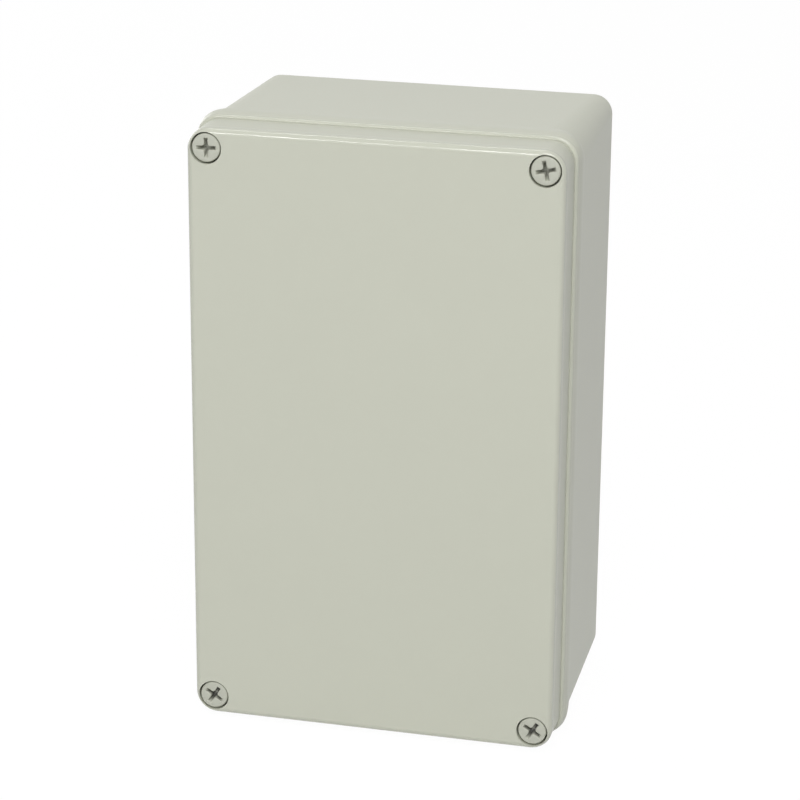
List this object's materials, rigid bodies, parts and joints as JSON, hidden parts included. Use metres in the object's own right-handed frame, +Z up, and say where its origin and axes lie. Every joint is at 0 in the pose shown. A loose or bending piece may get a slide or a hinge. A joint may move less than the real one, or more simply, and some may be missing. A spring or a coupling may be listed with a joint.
{
  "type": "plastic project box",
  "caption": "Sealed rectangular plastic project box: deep base with screw corners, gasketed lid and captive cross-head lid screws.",
  "frame": {"origin": "middle of the bounding box at its bottom, under the short end that the box stands on", "axes": "+Z up along the box's length, +X across it, +Y into it from the lid to the wall side, so the lid faces -Y"},
  "size_m": [0.1232, 0.0834, 0.2016],
  "materials": {
    "shell": "satin moulded warm light grey",
    "screw": "moulded light grey polyamide",
    "ring": "natural polyamide",
    "seal": "black foam rubber",
    "brass": "turned, knurled"
  },
  "bodies": {
    "base": {"base": "shell", "lid_insert_top_left": "brass", "plate_insert_top_left": "brass", "lid_insert_top_right": "brass", "plate_insert_top_right": "brass", "lid_insert_bottom_left": "brass", "plate_insert_bottom_left": "brass", "lid_insert_bottom_right": "brass", "plate_insert_bottom_right": "brass"},
    "lid": {"lid": "shell", "gasket": "seal"},
    "ring_top_left": {"screw_ring_top_left": "ring"},
    "screw_top_left": {"lid_screw_top_left": "screw"},
    "ring_top_right": {"screw_ring_top_right": "ring"},
    "screw_top_right": {"lid_screw_top_right": "screw"},
    "ring_bottom_left": {"screw_ring_bottom_left": "ring"},
    "screw_bottom_left": {"lid_screw_bottom_left": "screw"},
    "ring_bottom_right": {"screw_ring_bottom_right": "ring"},
    "screw_bottom_right": {"lid_screw_bottom_right": "screw"}
  },
  "joints": [
    {"name": "lid_lift_off", "type": "slide", "parent": "base", "child": "lid", "axis": [0, -1, 0], "range_m": [0, 0.06]},
    {"name": "screw_rise_top_left", "type": "slide", "parent": "lid", "child": "ring_top_left", "axis": [0, -1, 0], "range_m": [0, 0.0104]},
    {"name": "screw_turn_top_left", "type": "hinge", "parent": "ring_top_left", "child": "screw_top_left", "pos_m": [-0.05364, -0.0417, 0.19364], "axis": [0, -1, 0], "range_deg": [0, 4680]},
    {"name": "screw_rise_top_right", "type": "slide", "parent": "lid", "child": "ring_top_right", "axis": [0, -1, 0], "range_m": [0, 0.0104]},
    {"name": "screw_turn_top_right", "type": "hinge", "parent": "ring_top_right", "child": "screw_top_right", "pos_m": [0.05364, -0.0417, 0.19364], "axis": [0, -1, 0], "range_deg": [0, 4680]},
    {"name": "screw_rise_bottom_left", "type": "slide", "parent": "lid", "child": "ring_bottom_left", "axis": [0, -1, 0], "range_m": [0, 0.0104]},
    {"name": "screw_turn_bottom_left", "type": "hinge", "parent": "ring_bottom_left", "child": "screw_bottom_left", "pos_m": [-0.05364, -0.0417, 0.00796], "axis": [0, -1, 0], "range_deg": [0, 4680]},
    {"name": "screw_rise_bottom_right", "type": "slide", "parent": "lid", "child": "ring_bottom_right", "axis": [0, -1, 0], "range_m": [0, 0.0104]},
    {"name": "screw_turn_bottom_right", "type": "hinge", "parent": "ring_bottom_right", "child": "screw_bottom_right", "pos_m": [0.05364, -0.0417, 0.00796], "axis": [0, -1, 0], "range_deg": [0, 4680]}
  ],
  "couplings": [
    {"joint": "screw_turn_top_left", "follows": "screw_rise_top_left", "rad_per_m": 7854},
    {"joint": "screw_turn_top_right", "follows": "screw_rise_top_right", "rad_per_m": 7854},
    {"joint": "screw_turn_bottom_left", "follows": "screw_rise_bottom_left", "rad_per_m": 7854},
    {"joint": "screw_turn_bottom_right", "follows": "screw_rise_bottom_right", "rad_per_m": 7854}
  ]
}
